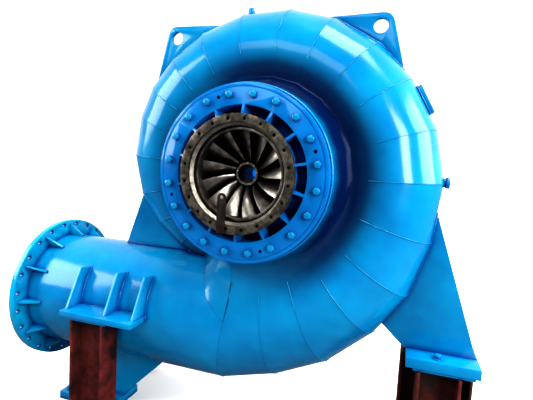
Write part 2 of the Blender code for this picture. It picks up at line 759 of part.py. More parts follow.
def make_saddles():
    """Shelf and three gussets welded to each side of the inlet pipe."""
    for side, name, low_x in ((-1, "saddle_front", SADDLE_X[0]), (1, "saddle_rear", SADDLE_REAR_X)):
        low_y, high_y = sorted((side * 0.3525, side * SADDLE_FRONT))
        shelf = box(name, (low_x, low_y, SADDLE_TOP - SADDLE_THICK),
                    (SADDLE_X[1], high_y, SADDLE_TOP), paint)
        curve = []
        for degrees in (8, 15, 22, 29, 36, 43):
            y, up = around(PIPE_RADIUS + 0.0012, degrees)
            curve.append((side * y, up - PIPE_DROP))
        outline = [(side * 0.455, SADDLE_TOP - 0.010), (side * 0.455, SADDLE_TOP),
                   (side * 0.345, SADDLE_TOP + 0.211)]
        outline += curve[::-1]
        outline.append((side * 0.3535, SADDLE_TOP - 0.010))
        bm = bmesh.new()
        for x in SADDLE_GUSSETS:
            prism(bm, *[[(x + across, y, z) for y, z in outline] for across in (-0.008, 0.008)])
        boolean(shelf, cutter_of(name + "_gussets", bm), "UNION")


def h_post(name, x, y, halves, top):
    """H-section post with its web across X, standing on the floor."""
    wide, deep = halves
    web = POST_WEB / 2
    inner = wide - POST_FLANGE
    section = [(wide, -deep), (wide, deep), (inner, deep), (inner, web),
               (-inner, web), (-inner, deep), (-wide, deep), (-wide, -deep),
               (-inner, -deep), (-inner, -web), (inner, -web), (inner, -deep)]
    low = [(x + a, y + b, -SHAFT_HEIGHT) for a, b in section]
    high = [(x + a, y + b, top) for a, b in section]
    return loft(name, [low, high], oxide_paint)


def make_stands():
    saddle_low = SADDLE_TOP - SADDLE_THICK - GAP
    shim_low = saddle_low - 0.012
    for side, name, x in ((-1, "left_front", -0.847), (1, "left_rear", -1.105)):
        low_y, high_y = sorted((side * 0.3560, side * 0.488))
        box("shim_" + name, (x - 0.130, low_y, shim_low), (x + 0.125, high_y, saddle_low), paint)
        h_post("stand_" + name, x, side * 0.422, POST_LEFT, shim_low - GAP)
    top = FOOT_TOP - FOOT_THICK - SHIM_THICK - 2 * GAP
    h_post("stand_right_front", 0.959, -0.040, POST_RIGHT, top)
    h_post("stand_right_rear_inner", 0.872, 0.165, POST_REAR, top)
    h_post("stand_right_rear_outer", 1.056, 0.165, POST_REAR, top)


def rim_flat(share, low=17, high=35):
    """Point, along and outward directions on a casing segment's straight rim."""
    a = Vector(around(tube_edge(low), low))
    b = Vector(around(tube_edge(high), high))
    along_rim = (b - a).normalized()
    return a + (b - a) * share, along_rim, Vector((along_rim.y, -along_rim.x))


def make_fittings():
    """Pad for a plate on the casing's rim."""
    middle, rim_way, out_way = rim_flat(0.58)
    bm = bmesh.new()
    bmesh.ops.create_cube(bm, size=1.0)
    for vert in bm.verts:
        along_rim, out = vert.co.x * 0.150, (vert.co.z + 0.5) * 0.022 + 0.0006
        spot = middle + rim_way * along_rim + out_way * out
        vert.co = (spot.x, vert.co.y * 0.090, spot.y)
    place("rim_pad", finish_mesh("rim_pad", bm), paint)


make_casing()
make_cheeks()
make_inlet()
make_stay_ring()
make_covers()
make_linkage()
make_throat()
make_runner()
make_shaft()
make_ears()
make_legs()
make_feet()
make_saddles()
make_stands()
make_fittings()
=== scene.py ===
# %% [markdown]
# A horizontal Francis turbine, dressed for its portrait. The solids come from the CAD
# model as one fixed frame in metres. This lesson keeps their shapes, rounds their edges,
# adds the fasteners and welds that a workshop would, and paints everything.

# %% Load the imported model
import json
import math
import bmesh
import bpy
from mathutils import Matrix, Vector
from mathutils.bvhtree import BVHTree

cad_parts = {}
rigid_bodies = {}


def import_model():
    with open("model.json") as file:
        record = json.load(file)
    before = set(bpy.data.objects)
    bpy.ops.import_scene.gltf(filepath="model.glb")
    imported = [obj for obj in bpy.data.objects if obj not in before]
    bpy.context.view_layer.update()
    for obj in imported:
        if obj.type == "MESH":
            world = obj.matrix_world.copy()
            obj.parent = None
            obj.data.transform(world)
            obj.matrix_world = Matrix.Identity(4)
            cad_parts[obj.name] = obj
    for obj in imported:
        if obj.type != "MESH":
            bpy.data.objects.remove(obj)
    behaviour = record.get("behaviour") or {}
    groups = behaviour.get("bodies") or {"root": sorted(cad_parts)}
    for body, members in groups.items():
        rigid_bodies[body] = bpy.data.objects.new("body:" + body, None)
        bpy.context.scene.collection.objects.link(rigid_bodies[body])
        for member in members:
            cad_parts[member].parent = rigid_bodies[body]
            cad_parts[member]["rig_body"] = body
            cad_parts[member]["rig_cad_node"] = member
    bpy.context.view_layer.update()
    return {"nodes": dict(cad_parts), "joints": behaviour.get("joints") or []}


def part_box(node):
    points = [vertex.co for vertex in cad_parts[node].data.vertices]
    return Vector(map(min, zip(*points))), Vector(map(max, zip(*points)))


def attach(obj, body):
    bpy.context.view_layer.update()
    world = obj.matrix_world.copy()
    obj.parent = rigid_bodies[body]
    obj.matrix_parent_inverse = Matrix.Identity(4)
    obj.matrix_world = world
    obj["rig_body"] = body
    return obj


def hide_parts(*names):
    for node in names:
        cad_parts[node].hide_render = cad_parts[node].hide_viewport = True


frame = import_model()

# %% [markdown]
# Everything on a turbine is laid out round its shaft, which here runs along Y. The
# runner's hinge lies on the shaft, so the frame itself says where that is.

SHAFT = Vector(frame["joints"][0]["pos_m"])

# %% [markdown]
# Shaft coordinates are handy here: x to the right, y to the rear, z up, all from the
# shaft's middle. Four small helpers go from them to the world and back. Operators act on
# whatever is selected, so one more helper selects exactly what is named.


# %% Helpers for places and selections
def at(x, y, z):
    """World point of these shaft coordinates."""
    return SHAFT + Vector((x, y, z))


def on_circle(radius, degrees, y):
    """World point on a circle round the shaft; 0 degrees is right, 90 is up."""
    turn = math.radians(degrees)
    return at(radius * math.cos(turn), y, radius * math.sin(turn))


def from_shaft(point):
    """Radius, degrees and y of a world point about the shaft."""
    arm = point - SHAFT
    return math.hypot(arm.x, arm.z), math.degrees(math.atan2(arm.z, arm.x)), arm.y


def corners(node):
    """Lowest and highest corner of a CAD node, in shaft coordinates."""
    return [Vector(corner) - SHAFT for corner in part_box(node)]


def only(*objects):
    """Select these objects and nothing else; the first is the active one."""
    bpy.ops.object.select_all(action="DESELECT")
    for obj in objects:
        obj.select_set(True)
    bpy.context.view_layer.objects.active = objects[0]


print("shaft is", round(SHAFT.z, 3), "m over the floor")

# %% [markdown]
# Materials first. Colours are picked as sRGB hex values, as in any paint chart, and one
# function turns them to the linear numbers that Blender shades with. Another adds a node
# of any kind, sets its options and values, and links its inputs.


# %% Helpers for materials
def linear(code):
    """Linear RGBA of an sRGB hex colour."""
    channels = [int(code[i:i + 2], 16) / 255 for i in (1, 3, 5)]
    return tuple(c / 12.92 if c <= 0.04045 else ((c + 0.055) / 1.055) ** 2.4
                 for c in channels) + (1.0,)


def add(tree, kind, links=(), values=(), stops=(), **settings):
    """Add one node with its options, input values, colour stops and links."""
    node = tree.nodes.new("ShaderNode" + kind)
    for option, value in settings.items():
        setattr(node, option, value)
    for socket, value in dict(values).items():
        node.inputs[socket].default_value = value
    for socket, source in dict(links).items():
        tree.links.new(source, node.inputs[socket])
    if stops:
        elements = node.color_ramp.elements
        while len(elements) < len(stops):
            elements.new(0.5)
        for element, (position, colour) in zip(elements, stops):
            element.position = position
            element.color = colour
    return node


def new_material(name, **sockets):
    """A material whose shader has these constant values, and its node tree and shader."""
    material = bpy.data.materials.new(name)
    material.use_nodes = True
    tree = material.node_tree
    shader = tree.nodes["Principled BSDF"]
    for socket, value in sockets.items():
        shader.inputs[socket.replace("_", " ")].default_value = value
    return material, tree, shader


print("#808080 is", round(linear("#808080")[0], 3), "in linear light")

# %% [markdown]
# The blue is a gloss alkyd enamel, sprayed thick over ground and filled steel. To the eye
# that gives one deep azure, clean wide highlights, a faint orange peel, and plate that is
# never quite flat where welds have pulled it. A broad noise drifts the colour a little, a
# middle one bends the highlights, and a fine one is the orange peel. In corners, ambient
# occlusion darkens the colour: painted shade.
#
# One place needs its own help. Between the casing's bulge and the ring lies a deep groove
# whose shade is painted into the colour: nearly navy above and to the right of the ring.
# That painted shade is worked out from how far a point lies from the shaft, and which way.


# %% Painted shade in the groove round the ring
def painted_groove_shade(tree, place, strength):
    """Painted shade in the groove round the ring, from 0 up to this strength."""
    arm = add(tree, "VectorMath", {0: place}, {1: -SHAFT}, operation="ADD").outputs["Vector"]
    # the painted shade fades on the skin's flare right against the ring, which faces the front
    along = add(tree, "SeparateXYZ", {"Vector": arm}).outputs["Y"]
    depth = add(tree, "Math", {0: along}, operation="ABSOLUTE")
    flare = add(tree, "MapRange", {"Value": depth.outputs["Value"]},
                {"From Min": 0.33, "From Max": 0.44, "To Min": 1.0, "To Max": 0.25})
    # painted shade at full strength at the ring's edge, and none from 700 mm out
    spoke = add(tree, "VectorMath", {0: arm}, {1: (1, 0, 1)},
                operation="MULTIPLY").outputs["Vector"]
    far = add(tree, "VectorMath", {0: spoke}, operation="LENGTH")
    near_ring = add(tree, "MapRange", {"Value": far.outputs["Value"]},
                    {"From Min": 0.43, "From Max": 0.70, "To Min": strength, "To Max": 0.0},
                    interpolation_type="SMOOTHSTEP")
    # the painted shade is darkest to the right of the ring and above it
    way = add(tree, "VectorMath", {0: spoke}, operation="NORMALIZE")
    side_dot = add(tree, "VectorMath", {0: way.outputs["Vector"]}, {1: (0.92, 0.0, 0.39)},
              operation="DOT_PRODUCT")
    shaded_side = add(tree, "MapRange", {"Value": side_dot.outputs["Value"]},
                   {"From Min": -0.6, "From Max": 0.5}, interpolation_type="SMOOTHSTEP")
    shade = add(tree, "Math", {0: near_ring.outputs["Result"], 1: shaded_side.outputs["Result"]},
                operation="MULTIPLY")
    return add(tree, "Math", {0: shade.outputs["Value"], 1: flare.outputs["Result"]},
               operation="MULTIPLY").outputs["Value"]


# %% [markdown]
# Now the enamel itself. The coat of the Principled shader is the gloss, and the base under
# it hardly shines. The same paint looks a little different from piece to piece, so each
# kind of piece gets its own can: plates, beads, casing, covers and inlet flange.


# %% Blue enamel
def blue_enamel(name, reach, shade_colour, tones, groove=0.0):
    """Gloss enamel in three tones, with painted shade in corners up to reach metres wide."""
    material, tree, shader = new_material(name, Specular_IOR_Level=0.05,
                                          Specular_Tint=linear("#6FD0FF"),
                                          Coat_Weight=0.62, Coat_Roughness=0.15)
    place = add(tree, "TexCoord").outputs["Object"]
    # drift of the spray coat over about 300 mm
    drift = add(tree, "TexNoise", {"Vector": place}, {"Scale": 3.3, "Detail": 4.0})
    colour = add(tree, "ValToRGB", {"Fac": drift.outputs["Fac"]},
                 stops=[(position, linear(tone)) for position, tone in
                        zip((0.30, 0.52, 0.74), tones)])
    # painted shade: corners and hollows are darkened by ambient occlusion
    painted_ao_shade = add(tree, "AmbientOcclusion", (), {"Distance": reach}, samples=6)
    clear = add(tree, "MapRange", {"Value": painted_ao_shade.outputs["AO"]},
                {"From Min": 0.45, "From Max": 0.92}).outputs["Result"]
    # painted shade in the casing's groove is taken off the unshaded share
    if groove:
        clear = add(tree, "Math", {0: clear, 1: painted_groove_shade(tree, place, groove)},
                    operation="SUBTRACT", use_clamp=True).outputs["Value"]
    coat = add(tree, "Mix", {"Factor": clear, "B": colour.outputs["Color"]},
               {"A": linear(shade_colour)}, data_type="RGBA")
    tree.links.new(coat.outputs["Result"], shader.inputs["Base Color"])
    # hand prints and dust break up the gloss over about 60 mm
    haze = add(tree, "TexNoise", {"Vector": place}, {"Scale": 17.0, "Detail": 6.0})
    rough = add(tree, "MapRange", {"Value": haze.outputs["Fac"]},
                {"From Min": 0.3, "From Max": 0.75, "To Min": 0.20, "To Max": 0.34})
    tree.links.new(rough.outputs["Result"], shader.inputs["Roughness"])
    # weld-pulled plate waves about 120 mm long, then orange peel of 3 mm
    waves = add(tree, "TexNoise", {"Vector": place}, {"Scale": 8.0, "Detail": 1.0})
    bent = add(tree, "Bump", {"Height": waves.outputs["Fac"]},
               {"Strength": 0.65, "Distance": 0.012})
    peel = add(tree, "TexNoise", {"Vector": place}, {"Scale": 330.0, "Detail": 1.0})
    skin = add(tree, "Bump", {"Height": peel.outputs["Fac"], "Normal": bent.outputs["Normal"]},
               {"Strength": 0.12, "Distance": 0.0006})
    tree.links.new(skin.outputs["Normal"], shader.inputs["Normal"])
    return material


BLUES = ("#006EA0", "#007CAA", "#0089B6")
COVER_BLUES = ("#00619F", "#006CAA", "#0078B5")
FLANGE_BLUES = ("#0078A4", "#0088B0", "#0096BC")
# colour of the painted shade in corners and hollows
CORNER_SHADE_BLUE = "#003A80"
plate_enamel = blue_enamel("gloss_blue_enamel", 0.04, CORNER_SHADE_BLUE, BLUES)
bead_enamel = blue_enamel("gloss_blue_bead_enamel", 0.002, BLUES[0], BLUES)
# the casing's enamel carries painted shade in its hollows and in the groove round the ring
casing_enamel = blue_enamel("gloss_blue_casing_enamel", 0.30, "#001840", BLUES, groove=0.94)
cover_enamel = blue_enamel("gloss_blue_cover_enamel", 0.04, CORNER_SHADE_BLUE, COVER_BLUES)
flange_enamel = blue_enamel("gloss_blue_flange_enamel", 0.04, "#00508C", FLANGE_BLUES)
print("enamels:", plate_enamel.name, bead_enamel.name, casing_enamel.name,
      cover_enamel.name, flange_enamel.name)

# %% [markdown]
# The throat ring is bare turned steel that has stood in a workshop: dark brown where oil
# and old rust have stained it, bright where tools and seals rub. Fine turning grooves run
# round the shaft, so a wave of rings about the shaft is the bump. The Mapping node moves
# the pattern's centre to the shaft. The flat bar that locks the runner is the same steel,
# only oiled black and never turned.


# %% Stained, bright and scraped turned steel
def turned_steel(name, tones, metallic, rough, stain_scale, groove):
    """Steel in these tones; rough is the range from its brightest to its dullest spots."""
    material, tree, shader = new_material(name, Metallic=metallic)
    place = add(tree, "TexCoord").outputs["Object"]
    centred = add(tree, "Mapping", {"Vector": place}, {"Location": -SHAFT})
    stain = add(tree, "TexNoise", {"Vector": place},
                {"Scale": stain_scale, "Detail": 8.0, "Roughness": 0.62})
    colour = add(tree, "ValToRGB", {"Fac": stain.outputs["Fac"]},
                 stops=[(position, linear(tone)) for position, tone in tones])
    tree.links.new(colour.outputs["Color"], shader.inputs["Base Color"])
    worn = add(tree, "MapRange", {"Value": stain.outputs["Fac"]},
               {"From Min": 0.35, "From Max": 0.7, "To Min": rough[1], "To Max": rough[0]})
    tree.links.new(worn.outputs["Result"], shader.inputs["Roughness"])
    # turning marks every 2.5 mm, coarser than real ones so that they show
    rings = add(tree, "TexWave", {"Vector": centred.outputs["Vector"]},
                {"Scale": 62.0, "Distortion": 0.4}, wave_type="RINGS", rings_direction="Y")
    cut = add(tree, "Bump", {"Height": rings.outputs["Fac"]},
              {"Strength": groove, "Distance": 0.0004})
    pits = add(tree, "TexNoise", {"Vector": place}, {"Scale": 240.0, "Detail": 3.0})
    skin = add(tree, "Bump", {"Height": pits.outputs["Fac"], "Normal": cut.outputs["Normal"]},
               {"Strength": 0.25, "Distance": 0.0005})
    tree.links.new(skin.outputs["Normal"], shader.inputs["Normal"])
    return material


throat_steel = turned_steel(
    "stained_turned_steel",
    ((0.30, "#2A2723"), (0.48, "#4E4A42"), (0.58, "#736D63"), (0.70, "#6E5C45")),
    metallic=0.88, rough=(0.34, 0.56), stain_scale=26.0, groove=0.25)
bright_steel = turned_steel(
    "bright_turned_steel", ((0.30, "#7D776E"), (0.50, "#B4AEA4"), (0.70, "#CFCAC2")),
    metallic=1.0, rough=(0.20, 0.34), stain_scale=30.0, groove=0.35)
scraped_steel = turned_steel(
    "scraped_turned_steel", ((0.30, "#5E5A53"), (0.50, "#8A857C"), (0.70, "#A8A298")),
    metallic=1.0, rough=(0.38, 0.52), stain_scale=34.0, groove=0.45)
bar_steel = turned_steel(
    "oiled_flat_bar_steel", ((0.30, "#15120F"), (0.50, "#27221D"), (0.70, "#40372D")),
    metallic=0.60, rough=(0.45, 0.60), stain_scale=26.0, groove=0.0)
print("steels:", throat_steel.name, bright_steel.name, scraped_steel.name, bar_steel.name)

# %% [markdown]
# The runner is cast stainless, ground by hand and polished on the blades. It shines like
# dark pewter: metal all over, with soft patches where the grinder stopped. Its marks have
# no direction, so plain noise carries both the tone and the roughness. Ambient occlusion
# paints shade into the roots of the blades.


# %% Ground cast steel of the runner
def ground_casting(name):
    material, tree, shader = new_material(name, Metallic=1.0)
    place = add(tree, "TexCoord").outputs["Object"]
    # ground patches of about 45 mm
    tone = add(tree, "TexNoise", {"Vector": place}, {"Scale": 22.0, "Detail": 7.0})
    ground = add(tree, "ValToRGB", {"Fac": tone.outputs["Fac"]},
                 stops=((0.30, linear("#524E49")), (0.52, linear("#807B74")),
                        (0.72, linear("#B2ADA6"))))
    # painted shade: darker towards the blade roots, as ambient occlusion finds them
    root = add(tree, "AmbientOcclusion", (), {"Distance": 0.16}, samples=6)
    unshaded_root = add(tree, "MapRange", {"Value": root.outputs["AO"]},
                  {"From Min": 0.20, "From Max": 0.72})
    metal = add(tree, "Mix", {"Factor": unshaded_root.outputs["Result"],
                              "B": ground.outputs["Color"]},
                {"A": linear("#1B1815")}, data_type="RGBA")
    tree.links.new(metal.outputs["Result"], shader.inputs["Base Color"])
    gleam = add(tree, "MapRange", {"Value": tone.outputs["Fac"]},
                {"From Min": 0.3, "From Max": 0.7, "To Min": 0.46, "To Max": 0.30})
    tree.links.new(gleam.outputs["Result"], shader.inputs["Roughness"])
    # grinding marks of about 8 mm
    grind = add(tree, "TexNoise", {"Vector": place}, {"Scale": 130.0, "Detail": 4.0})
    skin = add(tree, "Bump", {"Height": grind.outputs["Fac"]},
               {"Strength": 0.2, "Distance": 0.0008})
    tree.links.new(skin.outputs["Normal"], shader.inputs["Normal"])
    return material


cast_steel = ground_casting("ground_cast_steel")
print("casting:", cast_steel.name)

# %% [markdown]
# The stands are rolled H sections in old red-oxide primer, which is matt, chalky and
# patchy: darker where damp sat, greyish green where a later coat rubbed off on it, and
# chipped to brown mill scale in small spots. Shade is painted in between web and flanges.


# %% Red-oxide primer
def old_primer(name):
    material, tree, shader = new_material(name, Specular_IOR_Level=0.25)
    place = add(tree, "TexCoord").outputs["Object"]
    # patches of about 110 mm
    damp = add(tree, "TexNoise", {"Vector": place},
               {"Scale": 9.0, "Detail": 8.0, "Roughness": 0.65})
    oxide = add(tree, "ValToRGB", {"Fac": damp.outputs["Fac"]},
                stops=((0.32, linear("#1C1110")), (0.44, linear("#4A1B19")),
                       (0.60, linear("#6A2824")), (0.72, linear("#3A352D"))))
    # chips of about 14 mm, with hard edges
    chips = add(tree, "TexNoise", {"Vector": place}, {"Scale": 70.0, "Detail": 6.0})
    chipped = add(tree, "ValToRGB", {"Fac": chips.outputs["Fac"]},
                  stops=((0.64, linear("#000000")), (0.68, linear("#FFFFFF"))))
    coat = add(tree, "Mix", {"Factor": chipped.outputs["Color"],
                             "A": oxide.outputs["Color"]},
               {"B": linear("#1D1512")}, data_type="RGBA")
    # painted shade: darker between web and flanges, where ambient occlusion finds the recess
    painted_ao_shade = add(tree, "AmbientOcclusion", (), {"Distance": 0.16}, samples=6)
    unshaded_recess = add(tree, "MapRange", {"Value": painted_ao_shade.outputs["AO"]},
                    {"From Min": 0.35, "From Max": 0.90})
    painted_recess_shade = add(tree, "Mix", {"Factor": unshaded_recess.outputs["Result"],
                              "B": coat.outputs["Result"]},
                {"A": linear("#12120D")}, data_type="RGBA")
    tree.links.new(painted_recess_shade.outputs["Result"], shader.inputs["Base Color"])
    chalk = add(tree, "MapRange", {"Value": damp.outputs["Fac"]},
                {"To Min": 0.45, "To Max": 0.85})
    tree.links.new(chalk.outputs["Result"], shader.inputs["Roughness"])
    skin = add(tree, "Bump", {"Height": chips.outputs["Fac"]},
               {"Strength": 0.4, "Distance": 0.001})
    tree.links.new(skin.outputs["Normal"], shader.inputs["Normal"])
    return material


primer = old_primer("red_oxide_primer")
print("primer:", primer.name)

# %% [markdown]
# The CAD solids have knife edges and flat facets. Real plate edges are ground round, and
# real castings have radii, so each solid is copied, merged, beveled a millimetre or two
# and shaded smooth below a chosen angle. The copy then stands for the node.


# %% Helpers that copy, round and finish a piece
def copy_of(name, *nodes, merge=0.0001):
    """One copy of these CAD nodes, its loose triangles merged and its marks cleared."""
    only(*[frame["nodes"][node] for node in nodes])
    bpy.ops.object.duplicate()
    if len(nodes) > 1:
        bpy.ops.object.join()
    piece = bpy.context.view_layer.objects.active
    bpy.ops.object.parent_clear(type="CLEAR_KEEP_TRANSFORM")
    piece.name = name
    piece.data.name = name
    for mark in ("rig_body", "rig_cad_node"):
        if mark in piece:
            del piece[mark]
    only(piece)
    bpy.ops.object.transform_apply(location=True, rotation=True, scale=True)
    bpy.ops.mesh.customdata_custom_splitnormals_clear()
    bpy.ops.object.mode_set(mode="EDIT")
    bpy.ops.mesh.select_all(action="SELECT")
    bpy.ops.mesh.remove_doubles(threshold=merge)
    bpy.ops.object.mode_set(mode="OBJECT")
    return piece


def round_edges(piece, width):
    """Bevel the edges over 35 degrees, as a grinder breaks them."""
    only(piece)
    bevel = piece.modifiers.new("ground edges", "BEVEL")
    bevel.width = width
    bevel.segments = 2
    bevel.limit_method = "ANGLE"
    bevel.angle_limit = math.radians(35)
    bevel.harden_normals = False
    bpy.ops.object.modifier_apply(modifier=bevel.name)


def smooth(piece, angle):
    only(piece)
    bpy.ops.object.shade_smooth_by_angle(angle=math.radians(angle))


def finish_piece(piece, material, body="frame"):
    """Give the piece its one material, put its place in its mesh, and let it ride."""
    only(piece)
    bpy.ops.object.transform_apply(location=True, rotation=True, scale=True)
    piece.data.materials.clear()
    piece.data.materials.append(material)
    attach(piece, body)
    return piece


print("CAD nodes to dress:", len(frame["nodes"]))

# %% [markdown]
# Dressing a node is the same for most of them. Facets that lie in one plane are dissolved
# before the bevel, because a bevel runs clean only along whole faces.


# %% A helper that dresses one CAD node
def dress(node, material, body="frame", width=0.0015, angle=32):
    """A rounded, smooth copy that stands for one CAD node."""
    piece = copy_of(node + "_dressed", node)
    bpy.ops.object.mode_set(mode="EDIT")
    bpy.ops.mesh.select_all(action="SELECT")
    bpy.ops.mesh.dissolve_limited(angle_limit=math.radians(0.4))
    bpy.ops.object.mode_set(mode="OBJECT")
    if width:
        round_edges(piece, width)
    smooth(piece, angle)
    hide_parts(node)
    return finish_piece(piece, material, body)


# %% [markdown]
# The spiral casing is rolled plate, cut at mitres and welded into one shell. The seven CAD
# solids are merged here into that one shell: their walls meet within a millimetre, so
# merging by distance joins them, and the faces left inside are deleted. Shading is smooth
# along each segment and breaks only at the mitres.

# %% One shell from seven casing solids
CASING = ("casing_bottom", "casing_lower_right", "casing_upper_right", "casing_top",
          "casing_upper_left", "casing_left", "casing_nose")
shell = copy_of("casing_shell", *CASING, merge=0.0012)
bpy.ops.object.mode_set(mode="EDIT")
bpy.ops.mesh.select_all(action="DESELECT")
bpy.ops.mesh.select_mode(type="FACE")
bpy.ops.mesh.select_interior_faces()
bpy.ops.mesh.delete(type="FACE")
bpy.ops.object.mode_set(mode="OBJECT")
smooth(shell, angle=40)
print("shell faces:", len(shell.data.polygons))

# %% [markdown]
# Each cut between two lengths of plate lies in a plane through the shaft's axis, so a
# vertex belongs to a mitre when its angle round the shaft is the mitre's. The edges of a
# mitre are marked sharp, which leaves every length of plate rolled one way only. Close to
# the ring the plate was pressed round and ground, so the marks stop short of it.

# %% Mitres of the shell
MITRES = (-98, -83, -67.5, -51.5, -36.5, -19, 0, 17, 35, 51, 68, 84, 101, 118,
          133, 147, 160, 176, 193, 208, 222, 236)
MITRE_TOLERANCE = 0.4
MITRE_START = 0.56


def mitre_of(point):
    """Number of the mitre that this point of the shell lies in, or None."""
    radius, turn, _ = from_shaft(point)
    off = [abs((turn - mitre + 180) % 360 - 180) for mitre in MITRES]
    if min(off) < MITRE_TOLERANCE and radius > MITRE_START:
        return off.index(min(off))
    return None


def mitre_edges(bm):
    """The mesh's edges that run along a mitre, with the mitre's number."""
    found = {}
    for edge in bm.edges:
        first, second = [mitre_of(vert.co) for vert in edge.verts]
        if first is not None and first == second:
            found[edge] = first
    return found


only(shell)
bpy.ops.object.mode_set(mode="EDIT")
bm = bmesh.from_edit_mesh(shell.data)
sharp_edges = mitre_edges(bm)
for edge in sharp_edges:
    edge.smooth = False
bmesh.update_edit_mesh(shell.data)
bpy.ops.object.mode_set(mode="OBJECT")
print("mitres:", len(MITRES), "with", len(sharp_edges), "edges")

# %% [markdown]
# A weld is a round bead along an edge. The edge is found on a copy of the plate, all else
# is deleted from that copy, and what is left is turned to a curve, given a round section
# and made a mesh again. This helper does the second half, for every weld here.


# %% A bead of weld along chosen edges
def bead_along(wire, bm, keep, radius, material):
    """Turn these edges of the mesh in edit mode into one round bead."""
    bmesh.ops.delete(bm, geom=bm.faces[:], context="FACES_ONLY")
    bmesh.ops.delete(bm, geom=[edge for edge in bm.edges if edge not in keep],
                     context="EDGES")
    bmesh.update_edit_mesh(wire.data)
    bpy.ops.object.mode_set(mode="OBJECT")
    bpy.ops.object.convert(target="CURVE")
    wire.data.bevel_depth = radius
    wire.data.bevel_resolution = 2
    bpy.ops.object.convert(target="MESH")
    smooth(wire, angle=60)
    return finish_piece(wire, material)


# %% [markdown]
# At every mitre there is a weld, ground down but still proud under the paint. Its path is
# the mitre's edges on the outer skin, the ones whose faces look away from the middle of
# the tube. That middle lies straight behind the mitre's foremost point.


# %% Weld beads along the shell's mitres
def mitre_beads(name, radius):
    only(shell)
    bpy.ops.object.duplicate()
    wire = bpy.context.view_layer.objects.active
    wire.name = name
    bpy.ops.object.mode_set(mode="EDIT")
    bm = bmesh.from_edit_mesh(wire.data)
    edges = mitre_edges(bm)
    foremost = {}
    for edge, number in edges.items():
        for vert in edge.verts:
            if number not in foremost or vert.co.y < foremost[number].y:
                foremost[number] = vert.co.copy()
    keep = set()
    for edge, number in edges.items():
        middle = Vector((foremost[number].x, SHAFT.y, foremost[number].z))
        out = (edge.verts[0].co + edge.verts[1].co) / 2 - middle
        if all(face.normal.dot(out) > 0 for face in edge.link_faces):
            keep.add(edge)
    return bead_along(wire, bm, keep, radius, bead_enamel)


seams = mitre_beads("casing_welds", radius=0.0022)
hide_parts(*CASING)
finish_piece(shell, casing_enamel)
print("weld faces:", len(seams.data.polygons))

# %% [markdown]
# Wherever one plate stands on another there is a fillet of weld. The plate's sharp edges
# that lie on the other part are its path, found by their distance from that part.

# %% Fillet welds between plates
FILLET_RADIUS = 0.0045
FILLET_REACH = 0.008


def fillet_weld(name, plate, base):
    """A bead where this CAD plate stands on the base object."""
    surface = BVHTree.FromObject(base, bpy.context.evaluated_depsgraph_get())
    wire = copy_of(name, plate)
    bpy.ops.object.mode_set(mode="EDIT")
    bpy.ops.mesh.select_mode(type="EDGE")
    bpy.ops.mesh.select_all(action="DESELECT")
    bpy.ops.mesh.edges_select_sharp(sharpness=math.radians(40))
    bm = bmesh.from_edit_mesh(wire.data)
    keep = {edge for edge in bm.edges if edge.select and all(
        surface.find_nearest(vert.co)[3] < FILLET_REACH for vert in edge.verts)}
    bead_along(wire, bm, keep, FILLET_RADIUS, plate_enamel)
    print(name, len(wire.data.polygons), "faces")


WELDED_TO_CASING = ("ear_left", "ear_right", "leg_right", "leg_left_upper", "rim_pad")
WELDED_TO_NODES = (
    ("inlet_pipe", ("saddle_front", "saddle_rear", "inlet_flange", "leg_left_lower")),
    ("foot_right", ("leg_right",)), ("foot_left", ("leg_left_lower",)))
for plate in WELDED_TO_CASING:
    fillet_weld("weld_" + plate, plate, shell)
for base, plates in WELDED_TO_NODES:
    seat = copy_of("seat_for_welds", base)
    for plate in plates:
        fillet_weld("weld_" + plate + "_on_" + base, plate, seat)
    bpy.data.objects.remove(seat, do_unlink=True)

# %% [markdown]
# The other painted parts only need ground edges. Plates get a broader round than the
# machined covers. The inlet pipe and the two cheeks between pipe and casing run smoothly
# into their neighbours, so they keep their edges.

# %% Painted covers, plates and pipe
for node in ("stay_ring", "front_cover", "rear_cover", "bearing_housing"):
    dress(node, cover_enamel, width=0.0012)
dress("inlet_flange", flange_enamel, width=0.0012)
for node in ("ear_left", "ear_right", "leg_right", "leg_left_upper", "leg_left_lower",
             "foot_right", "shim_right", "foot_left", "saddle_front", "saddle_rear",
             "shim_left_front", "shim_left_rear", "rim_pad"):
    dress(node, plate_enamel, width=0.0022)
dress("inlet_pipe", plate_enamel, width=0.0)
for node in ("cheek_front", "cheek_rear"):
    dress(node, casing_enamel, width=0.0, angle=60)
print("painted nodes dressed")

# %% [markdown]
# Rolled sections have soft edges from the mill, about as round as the ground plates.

# %% Stands in primer
STANDS = ("stand_left_front", "stand_left_rear", "stand_right_front",
          "stand_right_rear_inner", "stand_right_rear_outer")
for node in STANDS:
    dress(node, primer, width=0.002)
print("stands:", len(STANDS))

# %% [markdown]
# The bare steel parts come last. The runner's blades are thin and curved, so it isn't
# beveled, and a wider angle keeps its blades smooth.

# %% Runner, shaft, bar and linkage
dress("runner", cast_steel, "rotor", width=0.0, angle=38)
dress("runner_band", cast_steel, "rotor", width=0.001)
dress("shaft", bright_steel, "rotor")
dress("locking_bar", bar_steel, width=0.0008)
dress("vane_linkage", throat_steel, width=0.001)
print("steel parts dressed")

# %% [markdown]
# Holes that share a circle are drilled in one go: a peg is set at each hole, the pegs are
# joined to one cutter, and one Boolean takes them all out.

# %% A helper that drills a circle of holes
ALONG_SHAFT = (math.radians(90), 0, 0)


